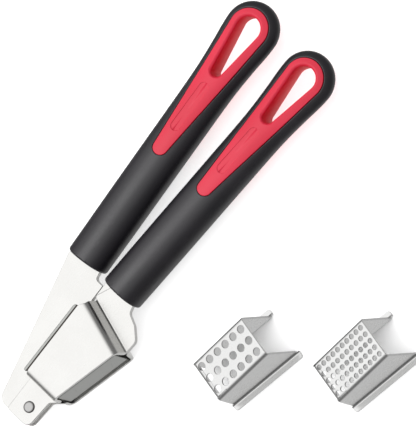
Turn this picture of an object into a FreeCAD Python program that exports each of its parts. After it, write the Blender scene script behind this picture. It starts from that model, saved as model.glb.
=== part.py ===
import FreeCAD, Part
import math
import os

# Garlic press: two steel levers on one rivet, with a wedge-shaped hopper in the lower lever,
# a U-shaped plunger on the upper lever, two-colour grips with hanging loops, and two loose
# U-shaped sieve inserts, one coarse and one fine, that stand beside the press.
#
# Millimetres. The press lies on the side of its hopper. The shapes are drawn about the pivot:
# x along the lower grip, y towards the upper lever, z along the rivet, with z = 0 between the
# two plates of each lever. At the end everything moves so that the origin is the middle of the
# hopper face that the press rests on.

Vector = FreeCAD.Vector

# ---- sheet steel
HOPPER_SHEET = 1.5
LEVER_SHEET = 1.5
PLUNGER_SHEET = 1.2
INSERT_SHEET = 1.0
BEND_RADIUS = 0.8              # inside radius of the levers' bends
PANEL_BEND = 2.2               # inside radius of the bends at the ends of the side panels

# ---- widths across the rivet's axis
HOPPER_WIDTH = 20.8            # clear width between the two side panels
TAB_CLEARANCE = 0.1            # between the upper lever and each pivot tab
PLUNGER_CLEARANCE = 1.4        # between the plunger and each side panel
STOP_GAP = 0.15                # between the two levers where they meet when closed
FACE_RECESS = 0.6              # pressing face, inside the hopper's exit edge

# ---- hopper, in plan about the pivot
TAB_LEFT = -7.1
TAB_BOTTOM = -5.6
TAB_NECK = (3.1, 0.2, 1.5)     # back from the near joggle, below the tab, radius
EXIT_START = 0.4               # from the near joggle to the start of the exit edge
TOP_AT_PIVOT = 7.85            # height of the hopper's top edge at x = 0
TOP_RISE = math.radians(3.0)
EXIT_FALL = math.radians(12.7)
EXIT_AT_PIVOT = -7.0           # height at x = 0 of the line of the hopper's exit edge
PIVOT_WALL = 10.5              # outer face of the joggle at the pivot's end
HANDLE_WALL = 48.2             # outer face of the joggle at the handle's end, along its normal
HANDLE_WALL_LEAN = math.radians(15.9)
HANDLE_WALL_DRAFT = math.radians(8.5)
RELIEF_FROM_WALL = 6.0
BEND_RELIEF = (                # notch in the top edge where the handle-end wall is bent:
    (1.4, 0.0, 1.0),           # along the edge, depth, radius
    (0.0, 1.8, 0.8),
    (-2.4, 1.8, 1.2),
    (-5.6, 0.0, 1.5),
)
CHAMBER_SPLIT = 28.0           # between the bends of the two ends of the hopper
EXIT_END = 3.4                 # from the handle-end wall back to the end of the exit edge
HEEL_REACH = 8.2               # from there to the corner under the lever
THROAT = ((5.8, -11.8, 4.0), (3.4, -6.4, 2.4))  # back from the grip, height, radius
BARE_STEEL = 2.7               # steel that shows between the stop edges and the grips

# ---- upper lever, in plan
LEVER_HEEL = 13.4
LEVER_BOSS = 5.2
BOSS_END = 9.0                 # where the boss's lower edge turns down to the blade
STOP_SETBACK = 2.0             # from the blade's far end to the stop edge
GRIP_THROAT = 8.9              # below the upper grip's axis, where the plate leaves the grip
GRIP_SHOULDER = (2.1, 9.0)     # back from the upper grip's start, above its axis
BLADE_BACK = 0.9               # between the blade and the plunger's two ends
FOOT_WIDTH = 5.0
FOOT_INSET = 3.5               # between the ends of the blade and of its foot
OPEN_ABOVE = 2.9               # how far the plunger's sides stand above the hopper
PLUNGER_NEAR_RADIUS = 15.2
PLUNGER_END_GAP = 0.6
PLUNGER_NEAR_GAP = 0.3
PLUNGER_ROUND = 2.0            # outside radius of the channel's two long bends
PLUNGER_OVERHANG = 1.0         # of its sides' near ends, above the joggle
PLUNGER_TOP_END = 0.2          # from the handle-end wall to the far end of its top edge
PLUNGER_TURN = -12.0           # height at which its far end turns in to the top edge

# ---- rivets
PIVOT_RADIUS = 2.0
PIVOT_RUNNING = 0.05
PIVOT_HEAD_RADIUS = 2.65
PIVOT_HEAD_HEIGHT = 1.1
TANG_RIVET_RADIUS = 1.6
TANG_RIVET_HEAD = 3.0
TANG_RIVET_HEAD_HEIGHT = 0.7
TANG_RIVETS_ALONG = (16.0, 44.0)

# ---- grips, each along its own axis from the end next to the hopper
LOWER_GRIP_START = (63.6, 2.75)
LOWER_GRIP_TURN = math.radians(-0.3)
UPPER_GRIP_START = (63.3, 24.5)
UPPER_GRIP_TURN = math.radians(5.5)
LOOP_CENTRE = 124.3            # middle of the round head
GRIP_SECTIONS = (              # along the grip, half width, half thickness
    (0.0, 9.55, 9.9),
    (35.0, 9.85, 9.5),
    (70.0, 10.1, 8.6),
    (96.0, 10.5, 7.5),
    (110.0, 11.55, 6.9),
    (118.5, 12.5, 6.55),
    (LOOP_CENTRE, 12.8, 6.4),
)
GRIP_SQUARENESS = 2.3
GRIP_END_ROUND = 1.2
TANG_LENGTH = 58.0
TANG_TAPER = 8.0               # from the mouth, where a tang comes down to its width
TANG_ROUND = 4.0
TANG_HALF_WIDTH = 5.6
TANG_MOUTH_HALF_WIDTH = 8.1
SPINE_START = 3.0
SPINE_HALF_WIDTH = 7.0
SPINE_HALF_THICKNESS = 4.2
INLAY_TIP = 60.5               # centre of the inlay's small end
INLAY_TIP_RADIUS = 3.5
INLAY_HEAD_RADIUS = 9.2
LOOP_TIP = 101.6
LOOP_TIP_RADIUS = 2.6
LOOP_HEAD_RADIUS = 5.6
LOOP_RIM = 1.4                 # rounding of the loop's two rims
INLAY_RIM = 0.4                # rounding of the inlay along its seam
SLEEVE_RIM = 0.6               # rounding of the sleeve along the same seam
RECESS_ALONG = (72.0, 92.5)    # middles of the round ends of the inlay's blank recess
RECESS_RADIUS = 2.4
RECESS_DEPTH = 0.3

# ---- sieve inserts, each in its own frame: standing on its flanges, x from its low end
INSERT_CLEARANCE = 0.1         # between an insert and each side panel
INSERT_LOW_HEIGHT = 20.0
INSERT_PLATE_LENGTH = 31.4
INSERT_WEDGE = math.radians(12.5)
INSERT_BEND = 1.0              # inside radius of an insert's bends
FLANGE_WIDTH = 3.0
FLANGE_OVERHANG = 0.9
FLANGE_ROUND = 1.4
LIP_HEIGHT = 5.5
LIP_TONGUE = 6.0               # how far the lip's strip runs into the plate
FOOT_SPLIT = 8.0               # height between an insert's straight sides and its bent feet
LIP_GAP = 0.4
LIP_SLIT = 0.2                 # on each side of the lip, where the plate is cut to bend it
COARSE_HOLES = {"radius": 1.8, "rows": 6, "columns": 3, "row_step": 5.1, "column_step": 6.2}
FINE_HOLES = {"radius": 1.15, "rows": 10, "columns": 5, "row_step": 3.0, "column_step": 3.6}
COARSE_PLACE = (81.0, -59.0)
FINE_PLACE = (117.0, -101.0)
INSERT_TURN = math.radians(-10.0)

# ---- origin: the middle of the hopper face that lies on the table
REST_FACE = (30.0, -3.0)

# ---- what follows from the sizes above
PANEL_IN = HOPPER_WIDTH / 2
PANEL_OUT = PANEL_IN + HOPPER_SHEET
TAB_IN = LEVER_SHEET + TAB_CLEARANCE
TAB_OUT = TAB_IN + HOPPER_SHEET
CHAMBER_NEAR = PIVOT_WALL + HOPPER_SHEET
PLUNGER_OUT = PANEL_IN - PLUNGER_CLEARANCE
INSERT_WIDTH = HOPPER_WIDTH - 2 * INSERT_CLEARANCE
FOOT_LINE = FACE_RECESS + PLUNGER_SHEET
BLADE_NEAR = PLUNGER_NEAR_RADIUS + BLADE_BACK
PLUNGER_FAR = HANDLE_WALL - HOPPER_SHEET - PLUNGER_END_GAP
BLADE_FAR = PLUNGER_FAR - BLADE_BACK
EXIT_ALONG = Vector(math.cos(EXIT_FALL), -math.sin(EXIT_FALL), 0)
EXIT_IN = Vector(math.sin(EXIT_FALL), math.cos(EXIT_FALL), 0)
WALL_ALONG = Vector(math.sin(HANDLE_WALL_LEAN), math.cos(HANDLE_WALL_LEAN), 0)
WALL_OUT = Vector(math.cos(HANDLE_WALL_LEAN), -math.sin(HANDLE_WALL_LEAN), 0)
X = Vector(1, 0, 0)
Y = Vector(0, 1, 0)
Z = Vector(0, 0, 1)
ORIGIN = Vector(0, 0, 0)
FAR = 60.0                     # longer than any sheet that is trimmed to its outline


# ---------------------------------------------------------------- drawing helpers
def rounded_wire(corners, origin=ORIGIN, u=X, v=Y):
    """Closed wire through corners (a, b, radius) on the axes u and v, each corner an arc."""
    points = [Vector(a, b, 0) for a, b, radius in corners]
    arcs = []
    for i, (a, b, radius) in enumerate(corners):
        here = points[i]
        if radius == 0:
            arcs.append((here, None, here))
            continue
        back = (points[i - 1] - here).normalize()
        ahead = (points[(i + 1) % len(points)] - here).normalize()
        half = back.getAngle(ahead) / 2
        reach = radius / math.tan(half)
        middle = here + (back + ahead).normalize() * (radius / math.sin(half) - radius)
        arcs.append((here + back * reach, middle, here + ahead * reach))

    def placed(point):
        return origin + u * point.x + v * point.y

    edges = []
    for i, (start, middle, end) in enumerate(arcs):
        if middle:
            edges.append(Part.Arc(placed(start), placed(middle), placed(end)).toShape())
        following = arcs[(i + 1) % len(arcs)][0]
        if (following - end).Length > 1e-6:
            edges.append(Part.makeLine(placed(end), placed(following)))
    return Part.Wire(edges)


def prism(corners, depth, origin=ORIGIN, u=X, v=Y):
    """Solid of a rounded outline on the axes u and v, grown from origin by depth along u x v."""
    face = Part.Face(rounded_wire(corners, origin, u, v))
    return face.extrude(u.cross(v).normalize() * depth)


def teardrop(tip, tip_radius, head, head_radius, depth):
    """Upright solid round two circles on the x axis and their tangents, from -depth to depth."""
    lean = math.asin((head_radius - tip_radius) / (head - tip))
    low = Vector(0, 0, -depth)

    def on_circle(centre, radius, side):
        return Vector(centre - radius * math.sin(lean), side * radius * math.cos(lean), 0) + low

    tip_left = on_circle(tip, tip_radius, 1)
    tip_right = on_circle(tip, tip_radius, -1)
    head_left = on_circle(head, head_radius, 1)
    head_right = on_circle(head, head_radius, -1)
    wire = Part.Wire([
        Part.Arc(tip_left, Vector(tip - tip_radius, 0, 0) + low, tip_right).toShape(),
        Part.makeLine(tip_right, head_right),
        Part.Arc(head_right, Vector(head + head_radius, 0, 0) + low, head_left).toShape(),
        Part.makeLine(head_left, tip_left),
    ])
    return Part.Face(wire).extrude(Z * (2 * depth))


def mirrored(shape):
    """The same piece on the other side of the middle plane."""
    return shape.mirror(ORIGIN, Z)


def moved_to_grip(shape, start, turn):
    """A shape drawn along a grip's own axis, put where the grip is."""
    placed = shape.copy()
    placed.rotate(ORIGIN, Z, math.degrees(turn))
    placed.translate(Vector(start[0], start[1], 0))
    return placed


def grip_point(along, across, start, turn):
    """Plan position of a point given along and across a grip."""
    return (
        start[0] + along * math.cos(turn) - across * math.sin(turn),
        start[1] + along * math.sin(turn) + across * math.cos(turn),
    )


def one_solid(shape):
    """The single solid of a result, with seams between coplanar faces removed."""
    solids = shape.removeSplitter().Solids
    return max(solids, key=lambda solid: solid.Volume)


# ---------------------------------------------------------------- plan lines
def top_edge(x):
    return TOP_AT_PIVOT + x * math.tan(TOP_RISE)


def exit_edge(x, inside=0.0):
    """Height of the hopper's exit edge at x, or of a line that far inside it."""
    return EXIT_AT_PIVOT - x * math.tan(EXIT_FALL) + inside / math.cos(EXIT_FALL)


def on_wall_line(normal_distance, y):
    """x at height y of a line parallel to the handle-end wall, that far along its normal."""
    return (normal_distance + y * math.sin(HANDLE_WALL_LEAN)) / math.cos(HANDLE_WALL_LEAN)


def tang_corners(start, turn):
    """The part of a lever's outline that lies inside its grip, from its -y to its +y side."""
    tang = (
        (0.0, -TANG_MOUTH_HALF_WIDTH, 0),
        (TANG_TAPER, -TANG_HALF_WIDTH, TANG_ROUND),
        (TANG_LENGTH, -TANG_HALF_WIDTH, TANG_ROUND),
        (TANG_LENGTH, TANG_HALF_WIDTH, TANG_ROUND),
        (TANG_TAPER, TANG_HALF_WIDTH, TANG_ROUND),
        (0.0, TANG_MOUTH_HALF_WIDTH, 0),
    )
    return [(*grip_point(along, across, start, turn), r) for along, across, r in tang]


# ---------------------------------------------------------------- lower lever
def hopper_plan():
    """Plan outline of a hopper plate: pivot tab, side panel and tang."""
    tang = tang_corners(LOWER_GRIP_START, LOWER_GRIP_TURN)
    neck_back, neck_drop, neck_radius = TAB_NECK
    exit_start = PIVOT_WALL + EXIT_START
    exit_end = HANDLE_WALL - EXIT_END
    relief = HANDLE_WALL + RELIEF_FROM_WALL
    grip_end = LOWER_GRIP_START[0] - BARE_STEEL
    return [
        (TAB_LEFT, top_edge(TAB_LEFT), 1.0),
        (TAB_LEFT, TAB_BOTTOM, 3.2),
        (PIVOT_WALL - neck_back, TAB_BOTTOM - neck_drop, neck_radius),
        (exit_start, exit_edge(exit_start), 0.8),
        (exit_end, exit_edge(exit_end), 2.0),
        (exit_end + HEEL_REACH, exit_edge(exit_end), 3.2),
        *((LOWER_GRIP_START[0] - back, height, radius) for back, height, radius in THROAT),
        *tang,
        (grip_end, top_edge(grip_end), 0.6),
        *((relief + d, top_edge(relief + d) - depth, radius) for d, depth, radius in BEND_RELIEF),
    ]


def hopper_plate():
    """One stamping of the lower lever: flat at the pivot and in the grip, joggled out between."""
    bend_out = BEND_RADIUS + HOPPER_SHEET
    panel_bend_out = PANEL_BEND + HOPPER_SHEET
    pivot_half = prism(
        [
            (TAB_LEFT - 5, TAB_IN, 0),
            (CHAMBER_NEAR, TAB_IN, bend_out),
            (CHAMBER_NEAR, PANEL_IN, PANEL_BEND),
            (CHAMBER_SPLIT, PANEL_IN, 0),
            (CHAMBER_SPLIT, PANEL_OUT, 0),
            (PIVOT_WALL, PANEL_OUT, panel_bend_out),
            (PIVOT_WALL, TAB_OUT, BEND_RADIUS),
            (TAB_LEFT - 5, TAB_OUT, 0),
        ],
        2 * FAR, Y * FAR, X, Z,
    )
    draft = math.tan(HANDLE_WALL_DRAFT)
    sheet_across = HOPPER_SHEET / math.cos(HANDLE_WALL_DRAFT)

    def wall_outside(z):
        return HANDLE_WALL + (PANEL_OUT - z) * draft

    handle_half = prism(
        [
            (0, PANEL_IN, 0),
            (wall_outside(PANEL_IN) - sheet_across, PANEL_IN, PANEL_BEND),
            (wall_outside(0) - sheet_across, 0, bend_out),
            (4 * FAR, 0, 0),
            (4 * FAR, HOPPER_SHEET, 0),
            (wall_outside(HOPPER_SHEET), HOPPER_SHEET, BEND_RADIUS),
            (wall_outside(PANEL_OUT), PANEL_OUT, panel_bend_out),
            (0, PANEL_OUT, 0),
        ],
        2 * FAR, WALL_ALONG * FAR, WALL_OUT, Z,
    )
    split = Part.makeBox(4 * FAR, 4 * FAR, FAR, Vector(CHAMBER_SPLIT, -2 * FAR, -1))
    plan = prism(hopper_plan(), FAR)
    near = pivot_half.cut(split)
    far = handle_half.common(split)
    plate = near.fuse(far).common(plan)
    plate = plate.cut(Part.makeCylinder(PIVOT_RADIUS, FAR))
    plate = plate.cut(tang_rivet_shanks(LOWER_GRIP_START, LOWER_GRIP_TURN))
    return one_solid(plate)


# ---------------------------------------------------------------- upper lever
def lever_plan():
    """Plan outline of a plate of the upper lever: pivot boss, blade, stop edge and tang."""
    tang = tang_corners(UPPER_GRIP_START, UPPER_GRIP_TURN)
    stop_start = on_wall_line(BLADE_FAR, top_edge(HANDLE_WALL)) + STOP_SETBACK
    stop_end = UPPER_GRIP_START[0] - BARE_STEEL
    shoulder_back, shoulder_up = GRIP_SHOULDER
    return [
        (TAB_LEFT, LEVER_HEEL, 4.6),
        (TAB_LEFT, -LEVER_BOSS, 4.8),
        (BOSS_END, -LEVER_BOSS, 2.0),
        (BLADE_NEAR, exit_edge(BLADE_NEAR, FOOT_LINE), 0),
        (foot_end(), exit_edge(foot_end(), FOOT_LINE), 0),
        (stop_start, top_edge(stop_start) + STOP_GAP, 2.0),
        (stop_end, top_edge(stop_end) + STOP_GAP, 0.5),
        (stop_end, UPPER_GRIP_START[1] - GRIP_THROAT, 1.6),
        *tang,
        (UPPER_GRIP_START[0] - shoulder_back, UPPER_GRIP_START[1] + shoulder_up, 1.2),
    ]


def foot_end():
    """x of the blade's far lower corner, just inside the plunger's far end."""
    return on_wall_line(BLADE_FAR, exit_edge(HANDLE_WALL, FOOT_LINE))


def lever_plate():
    """One plate of the upper lever, with the foot that is welded to the plunger's web."""
    foot_start = BLADE_NEAR + FOOT_INSET
    length = (foot_end() - FOOT_INSET - foot_start) / math.cos(EXIT_FALL)
    start = Vector(foot_start, exit_edge(foot_start, FOOT_LINE), 0)
    foot = prism(
        [
            (0, 0, 0),
            (FOOT_WIDTH, 0, 0),
            (FOOT_WIDTH, LEVER_SHEET, 0),
            (LEVER_SHEET, LEVER_SHEET, BEND_RADIUS),
            (LEVER_SHEET, 2 * LEVER_SHEET + BEND_RADIUS, 0),
            (0, 2 * LEVER_SHEET + BEND_RADIUS, 0),
        ],
        -length, start, Z, EXIT_IN,
    )
    plate = prism(lever_plan(), LEVER_SHEET).fuse(foot)
    plate = plate.cut(Part.makeCylinder(PIVOT_RADIUS + PIVOT_RUNNING, FAR))
    plate = plate.cut(tang_rivet_shanks(UPPER_GRIP_START, UPPER_GRIP_TURN))
    return one_solid(plate)


def plunger():
    """U-shaped channel that fills the hopper: pressing face towards the exit, sides upwards."""
    channel = prism(
        [
            (-PLUNGER_OUT, 0, PLUNGER_ROUND),
            (PLUNGER_OUT, 0, PLUNGER_ROUND),
            (PLUNGER_OUT, FAR, 0),
            (PLUNGER_OUT - PLUNGER_SHEET, FAR, 0),
            (PLUNGER_OUT - PLUNGER_SHEET, PLUNGER_SHEET, PLUNGER_ROUND - PLUNGER_SHEET),
            (PLUNGER_SHEET - PLUNGER_OUT, PLUNGER_SHEET, PLUNGER_ROUND - PLUNGER_SHEET),
            (PLUNGER_SHEET - PLUNGER_OUT, FAR, 0),
            (-PLUNGER_OUT, FAR, 0),
        ],
        -2 * FAR, Vector(0, exit_edge(0, FACE_RECESS), 0) - EXIT_ALONG * 10, Z, EXIT_IN,
    )
    near = CHAMBER_NEAR + PLUNGER_NEAR_GAP
    below = 2 * PLUNGER_TURN
    top_end = HANDLE_WALL + PLUNGER_TOP_END
    plan = prism(
        [
            (near, exit_edge(near) - 5, 0),
            (on_wall_line(PLUNGER_FAR, below), below, 0),
            (on_wall_line(PLUNGER_FAR, PLUNGER_TURN), PLUNGER_TURN, 6.0),
            (top_end, top_edge(top_end) + OPEN_ABOVE, 1.5),
            (near - PLUNGER_OVERHANG, top_edge(near) + OPEN_ABOVE, 0.8),
            (near - PLUNGER_OVERHANG, 0, 0),
            (near, -5, 0),
        ],
        2 * FAR, Vector(0, 0, -FAR),
    )
    sweep = Part.makeCylinder(PLUNGER_NEAR_RADIUS, 2 * FAR, Vector(0, 0, -FAR))
    return one_solid(channel.common(plan).cut(sweep))


# ---------------------------------------------------------------- rivets
def headed_rivet(radius, head_radius, head_height, half_grip):
    """Round rivet on the z axis with a domed head beyond +-half_grip."""
    dome = (head_radius ** 2 + head_height ** 2) / (2 * head_height)
    ball = Part.makeSphere(dome, Vector(0, 0, half_grip + head_height - dome))
    above = Part.makeCylinder(2 * head_radius, FAR, Vector(0, 0, half_grip))
    head = ball.common(above)
    shank = Part.makeCylinder(radius, 2 * half_grip, Vector(0, 0, -half_grip))
    return one_solid(shank.fuse(head).fuse(mirrored(head)))


def pivot_rivet():
    return headed_rivet(PIVOT_RADIUS, PIVOT_HEAD_RADIUS, PIVOT_HEAD_HEIGHT, TAB_OUT)


def tang_rivet_shanks(start, turn):
    shanks = [
        Part.makeCylinder(TANG_RIVET_RADIUS, 2 * FAR, Vector(along, 0, -FAR))
        for along in TANG_RIVETS_ALONG
    ]
    return moved_to_grip(Part.makeCompound(shanks), start, turn)


def tang_rivets(start, turn):
    """The two rivets that hold a lever's plates together inside its grip."""
    rivet = headed_rivet(TANG_RIVET_RADIUS, TANG_RIVET_HEAD, TANG_RIVET_HEAD_HEIGHT, HOPPER_SHEET)
    rivets = []
    for along in TANG_RIVETS_ALONG:
        placed = rivet.copy()
        placed.translate(Vector(along, 0, 0))
        rivets.append(placed)
    return moved_to_grip(Part.makeCompound(rivets), start, turn)


# ---------------------------------------------------------------- grips
def half_section(along, half_width, half_thickness, side):
    """One side of a grip's rounded section, from the bottom middle to the top middle."""
    points = []
    steps = 12
    for i in range(steps + 1):
        turn = math.pi * (i / steps - 0.5)
        across = abs(math.cos(turn)) ** (2 / GRIP_SQUARENESS) * half_width
        up = abs(math.sin(turn)) ** (2 / GRIP_SQUARENESS) * half_thickness
        if i in (0, steps):
            across = 0.0
        points.append(Vector(along, side * across, math.copysign(up, turn)))
    curve = Part.BSplineCurve()
    flat = Vector(0, side, 0)
    curve.interpolate(Points=points, InitialTangent=flat, FinalTangent=flat * -1)
    return curve.toShape()


def grip_section(along, half_width, half_thickness):
    """Closed wire of a grip's rounded section."""
    sides = [half_section(along, half_width, half_thickness, side) for side in (1, -1)]
    return Part.Wire(Part.sortEdges(sides)[0])


def grip_blank():
    """Outside of a grip: a rounded bar that widens into a round, flatter head."""
    first = (GRIP_END_ROUND, *GRIP_SECTIONS[0][1:])
    bar = Part.makeLoft([grip_section(*size) for size in (first, *GRIP_SECTIONS[1:])], True, False)
    rim = []
    steps = 5
    for i in range(steps + 1):
        turn = math.pi / 2 * i / steps
        inset = GRIP_END_ROUND * (1 - math.sin(turn))
        along = GRIP_END_ROUND * (1 - math.cos(turn))
        rim.append(grip_section(along, first[1] - inset, first[2] - inset))
    end = Part.makeLoft(rim, True, True)
    along, half_width, half_thickness = GRIP_SECTIONS[-1]
    side = half_section(along, half_width, half_thickness, -1)
    axis_line = Part.makeLine(
        Vector(along, 0, half_thickness), Vector(along, 0, -half_thickness)
    )
    profile = Part.Face(Part.Wire(Part.sortEdges([side, axis_line])[0]))
    head = profile.revolve(Vector(along, 0, 0), Z, 180)
    return one_solid(end.fuse(bar).fuse(head))


def rim_edges(shape, outline):
    """Edges of a grip piece that run round an upright outline on its two faces."""
    wall = outline.Shells[0]
    rims = []
    for edge in shape.Edges:
        middle = edge.valueAt((edge.FirstParameter + edge.LastParameter) / 2)
        upright = edge.BoundBox.ZLength > edge.Length / 2
        buried = abs(middle.z) < SPINE_HALF_THICKNESS + INLAY_RIM
        if upright or buried:
            continue
        if Part.Vertex(middle).distToShape(wall)[0] < 0.01:
            rims.append(edge)
    return rims


def recessed(core, blank):
    """The core with a shallow blank recess in each of its inlay faces."""
    first, last = RECESS_ALONG
    capsule = teardrop(first, RECESS_RADIUS, last, RECESS_RADIUS, FAR)
    for side in (1, -1):
        floor = blank.copy()
        floor.translate(Z * (-side * RECESS_DEPTH))
        core = core.cut(capsule.cut(floor))
    return core


def grip_pieces(start, turn, lever_parts):
    """Red core, with its inlay faces and loop, and the black sleeve moulded over it."""
    blank = grip_blank()
    inlay = teardrop(INLAY_TIP, INLAY_TIP_RADIUS, LOOP_CENTRE, INLAY_HEAD_RADIUS, FAR)
    loop = teardrop(LOOP_TIP, LOOP_TIP_RADIUS, LOOP_CENTRE, LOOP_HEAD_RADIUS, FAR)
    spine = Part.makeBox(
        LOOP_CENTRE - SPINE_START, 2 * SPINE_HALF_WIDTH, 2 * SPINE_HALF_THICKNESS,
        Vector(SPINE_START, -SPINE_HALF_WIDTH, -SPINE_HALF_THICKNESS),
    )
    core = blank.common(inlay).fuse(spine)
    sleeve = blank.cut(core)
    sleeve = sleeve.makeFillet(SLEEVE_RIM, rim_edges(sleeve, inlay))
    core = recessed(core.cut(loop), blank)
    core = core.makeFillet(LOOP_RIM, rim_edges(core, loop))
    core = core.makeFillet(INLAY_RIM, rim_edges(core, inlay))
    lever = Part.makeCompound(lever_parts)
    core = moved_to_grip(core, start, turn).cut(lever)
    sleeve = moved_to_grip(sleeve, start, turn).cut(lever)
    return one_solid(core), one_solid(sleeve)


# ---------------------------------------------------------------- sieve inserts
def sieve_insert(holes):
    """U of thin sheet on outward flanges, with a sloping perforated plate and a short end lip."""
    half = INSERT_WIDTH / 2
    inner = half - INSERT_SHEET
    bend_out = INSERT_BEND + INSERT_SHEET
    wedge_along = Vector(math.cos(INSERT_WEDGE), 0, math.sin(INSERT_WEDGE))
    wedge_up = Vector(-math.sin(INSERT_WEDGE), 0, math.cos(INSERT_WEDGE))
    low_corner = Vector(0, 0, INSERT_LOW_HEIGHT)

    cover = prism(
        [
            (-half, -FAR, 0),
            (-half, 0, bend_out),
            (half, 0, bend_out),
            (half, -FAR, 0),
            (inner, -FAR, 0),
            (inner, -INSERT_SHEET, INSERT_BEND),
            (-inner, -INSERT_SHEET, INSERT_BEND),
            (-inner, -FAR, 0),
        ],
        -2 * FAR, low_corner - wedge_along * FAR, Y * -1, wedge_up,
    )
    above = Part.makeBox(4 * FAR, 4 * FAR, FAR, Vector(-2 * FAR, -2 * FAR, FOOT_SPLIT))
    walls = cover.common(above)
    for side in (1, -1):
        foot = prism(
            [
                (inner, FOOT_SPLIT, 0),
                (inner, 0, bend_out),
                (half + FLANGE_WIDTH, 0, 0),
                (half + FLANGE_WIDTH, INSERT_SHEET, 0),
                (half, INSERT_SHEET, INSERT_BEND),
                (half, FOOT_SPLIT, 0),
            ],
            2 * FAR * side, Vector(-FAR, 0, 0), Y * side, Z,
        )
        walls = walls.fuse(foot)

    far_top = low_corner + wedge_along * INSERT_PLATE_LENGTH
    far_foot = far_top - wedge_up * (far_top.z / math.cos(INSERT_WEDGE))
    over = far_top.z
    side_view = prism(
        [
            (0, -1, 0),
            (0, INSERT_LOW_HEIGHT + over, 0),
            (far_top.x - over * math.tan(INSERT_WEDGE), far_top.z + over, 0),
            (far_top.x, far_top.z, 0),
            (far_foot.x, far_foot.z, 0),
            (far_foot.x, -1, 0),
        ],
        4 * FAR, Vector(0, 2 * FAR, 0), X, Z,
    )
    tall = Part.makeBox(4 * FAR, 2 * half, 2 * FAR, Vector(-2 * FAR, -half, 0))
    shell = walls.common(side_view).common(tall)
    flanges = walls.cut(tall).common(flange_plan(far_foot.x, half))
    slit = inner - LIP_GAP + LIP_SLIT
    bent = Part.makeBox(2 * bend_out, 2 * slit, FAR, Vector(-bend_out, -slit, FOOT_SPLIT))
    body = shell.cut(bent).fuse(flanges).fuse(end_lip(inner - LIP_GAP))
    return one_solid(body.cut(sieve_holes(holes, wedge_along, wedge_up, low_corner)))


def flange_plan(length, half):
    """Plan outlines of the two flanges, with their outer corners rounded."""
    start = -FLANGE_OVERHANG
    end = length + FLANGE_OVERHANG
    outer = half + FLANGE_WIDTH
    right = prism(
        [
            (start, half - 2, 0),
            (end, half - 2, 0),
            (end, outer, FLANGE_ROUND),
            (start, outer, FLANGE_ROUND),
        ],
        FAR, ORIGIN,
    )
    return Part.makeCompound([right, right.mirror(ORIGIN, Y)])


def end_lip(strip):
    """The plate's low end, a strip bent down between the side walls."""
    bend_out = INSERT_BEND + INSERT_SHEET
    reach = LIP_TONGUE
    under = INSERT_SHEET / math.cos(INSERT_WEDGE)
    rise = math.tan(INSERT_WEDGE)
    z = INSERT_LOW_HEIGHT
    return prism(
        [
            (0, z, bend_out),
            (0, z - LIP_HEIGHT, 0),
            (INSERT_SHEET, z - LIP_HEIGHT, 0),
            (INSERT_SHEET, z + INSERT_SHEET * rise - under, INSERT_BEND),
            (reach, z + reach * rise - under, 0),
            (reach, z + reach * rise, 0),
        ],
        2 * strip, Vector(0, strip, 0), X, Z,
    )


def sieve_holes(holes, wedge_along, wedge_up, low_corner):
    """Drills for the grid of holes, square to the plate and centred on it."""
    drills = []
    for row in range(holes["rows"]):
        for column in range(holes["columns"]):
            along = INSERT_PLATE_LENGTH / 2 + (row - (holes["rows"] - 1) / 2) * holes["row_step"]
            across = (column - (holes["columns"] - 1) / 2) * holes["column_step"]
            start = low_corner + wedge_along * along + Y * across - wedge_up * 3
            drills.append(Part.makeCylinder(holes["radius"], 6, start, wedge_up))
    return Part.makeCompound(drills)


def placed_insert(holes, place):
    """An insert standing on the table beside the press."""
    insert = sieve_insert(holes)
    length = insert.BoundBox.XMax + insert.BoundBox.XMin
    insert.translate(Vector(-length / 2, 0, 0))
    insert.rotate(ORIGIN, Z, math.degrees(INSERT_TURN))
    insert.translate(Vector(place[0], place[1], -PANEL_OUT))
    return insert


# ---------------------------------------------------------------- the whole press
def build():
    parts = {}
    parts["hopper_plate_left"] = hopper_plate()
    parts["hopper_plate_right"] = mirrored(parts["hopper_plate_left"])
    parts["lever_plate_left"] = lever_plate()
    parts["lever_plate_right"] = mirrored(parts["lever_plate_left"])
    parts["plunger"] = plunger()
    parts["pivot_rivet"] = pivot_rivet()
    grips = (
        ("lower", LOWER_GRIP_START, LOWER_GRIP_TURN, "hopper_plate"),
        ("upper", UPPER_GRIP_START, UPPER_GRIP_TURN, "lever_plate"),
    )
    for name, start, turn, plate in grips:
        rivets = tang_rivets(start, turn)
        inside = [parts[f"{plate}_left"], parts[f"{plate}_right"], *rivets.Solids]
        core, sleeve = grip_pieces(start, turn, inside)
        parts[f"{name}_tang_rivets"] = rivets
        parts[f"{name}_grip_core"] = core
        parts[f"{name}_grip_sleeve"] = sleeve
    parts["coarse_insert"] = placed_insert(COARSE_HOLES, COARSE_PLACE)
    parts["fine_insert"] = placed_insert(FINE_HOLES, FINE_PLACE)
    return parts


os.makedirs("parts", exist_ok=True)
for node, solid in build().items():
    solid.translate(Vector(-REST_FACE[0], -REST_FACE[1], PANEL_OUT))
    solid.exportStep(f"parts/{node}.step")
    print(node, solid.isValid(), len(solid.Solids), round(solid.Volume, 1))
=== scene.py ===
import math

import bmesh
import bpy
from mathutils import Matrix, Vector


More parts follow.
